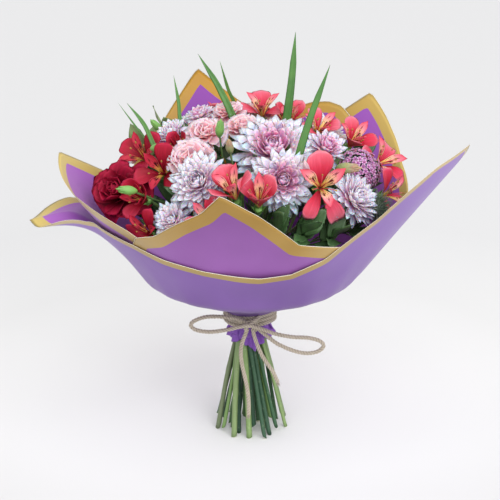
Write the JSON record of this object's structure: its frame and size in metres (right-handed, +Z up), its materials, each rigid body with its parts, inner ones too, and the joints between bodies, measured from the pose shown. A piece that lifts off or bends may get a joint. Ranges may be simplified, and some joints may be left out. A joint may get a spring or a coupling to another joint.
{
  "type": "chrysanthemum bouquet",
  "caption": "Hand-tied bouquet of chrysanthemums, carnations, alstroemeria and greenery in a flared film wrap, tied with twine and standing on its cut stems.",
  "frame": {"origin": "middle of the footprint of the wrap, at the level of the cut stem ends", "axes": "+Z up along the stems, -Y towards the wrap's front, +X to the right as seen from the front, across the widest part of the wrap"},
  "size_m": [0.4282, 0.354, 0.424],
  "materials": {
    "stem_green": "fresh green stems and light green leaves, satin",
    "leaf_green": "dark green waxy oval leaves",
    "chrysanthemum_lilac": "matte lilac-white petals, magenta towards the middle",
    "carnation_pink": "matte pale pink ruffled petals",
    "alstroemeria_coral": "coral red petals with yellow throats, satin",
    "alstroemeria_crimson": "crimson petals, satin",
    "rose_crimson": "dark red velvety petals",
    "floret_magenta": "matte magenta florets",
    "film_violet": "matte violet film with satin gold borders",
    "jute": "twisted grey-beige jute"
  },
  "bodies": {
    "root": {"alstroemeria_back_1": "alstroemeria_coral", "alstroemeria_back_2": "alstroemeria_coral", "alstroemeria_back_3": "alstroemeria_coral", "alstroemeria_back_4": "alstroemeria_coral", "alstroemeria_back_5": "alstroemeria_coral", "alstroemeria_front_1": "alstroemeria_coral", "alstroemeria_front_2": "alstroemeria_coral", "alstroemeria_front_3": "alstroemeria_coral", "alstroemeria_front_4": "alstroemeria_coral", "alstroemeria_left_1": "alstroemeria_crimson", "alstroemeria_left_2": "alstroemeria_crimson", "alstroemeria_left_3": "alstroemeria_crimson", "alstroemeria_left_4": "alstroemeria_crimson", "alstroemeria_left_5": "alstroemeria_crimson", "alstroemeria_right_1": "alstroemeria_coral", "alstroemeria_right_2": "alstroemeria_coral", "alstroemeria_right_3": "alstroemeria_coral", "alstroemeria_stem_right": "stem_green", "alstroemeria_stems_back": "stem_green", "alstroemeria_stems_front": "stem_green", "alstroemeria_stems_left": "stem_green", "carnation_1": "carnation_pink", "carnation_2": "carnation_pink", "carnation_3": "carnation_pink", "carnation_4": "carnation_pink", "carnation_5": "carnation_pink", "carnation_6": "carnation_pink", "carnation_and_ruscus_back": "stem_green", "carnation_stems_front": "stem_green", "chrysanthemum_1": "chrysanthemum_lilac", "chrysanthemum_10": "chrysanthemum_lilac", "chrysanthemum_2": "chrysanthemum_lilac", "chrysanthemum_3": "chrysanthemum_lilac", "chrysanthemum_4": "chrysanthemum_lilac", "chrysanthemum_5": "chrysanthemum_lilac", "chrysanthemum_6": "chrysanthemum_lilac", "chrysanthemum_7": "chrysanthemum_lilac", "chrysanthemum_8": "chrysanthemum_lilac", "chrysanthemum_9": "chrysanthemum_lilac", "chrysanthemum_stems_back": "stem_green", "chrysanthemum_stems_front": "stem_green", "chrysanthemum_stems_left": "stem_green", "floret_1": "floret_magenta", "floret_and_thistle_stems": "stem_green", "foliage_and_grass_left": "stem_green", "rose_1": "rose_crimson", "rose_and_carnation_left": "stem_green", "ruscus_and_grass_right": "leaf_green", "ruscus_front": "leaf_green", "twine_binding": "jute", "twine_bow": "jute", "twine_tail_left": "jute", "twine_tail_right": "jute", "wrap_back_left": "film_violet", "wrap_back_middle": "film_violet", "wrap_back_right": "film_violet", "wrap_front_inner": "film_violet", "wrap_front_outer": "film_violet", "wrap_left": "film_violet", "wrap_skirt": "film_violet"}
  },
  "joints": []
}
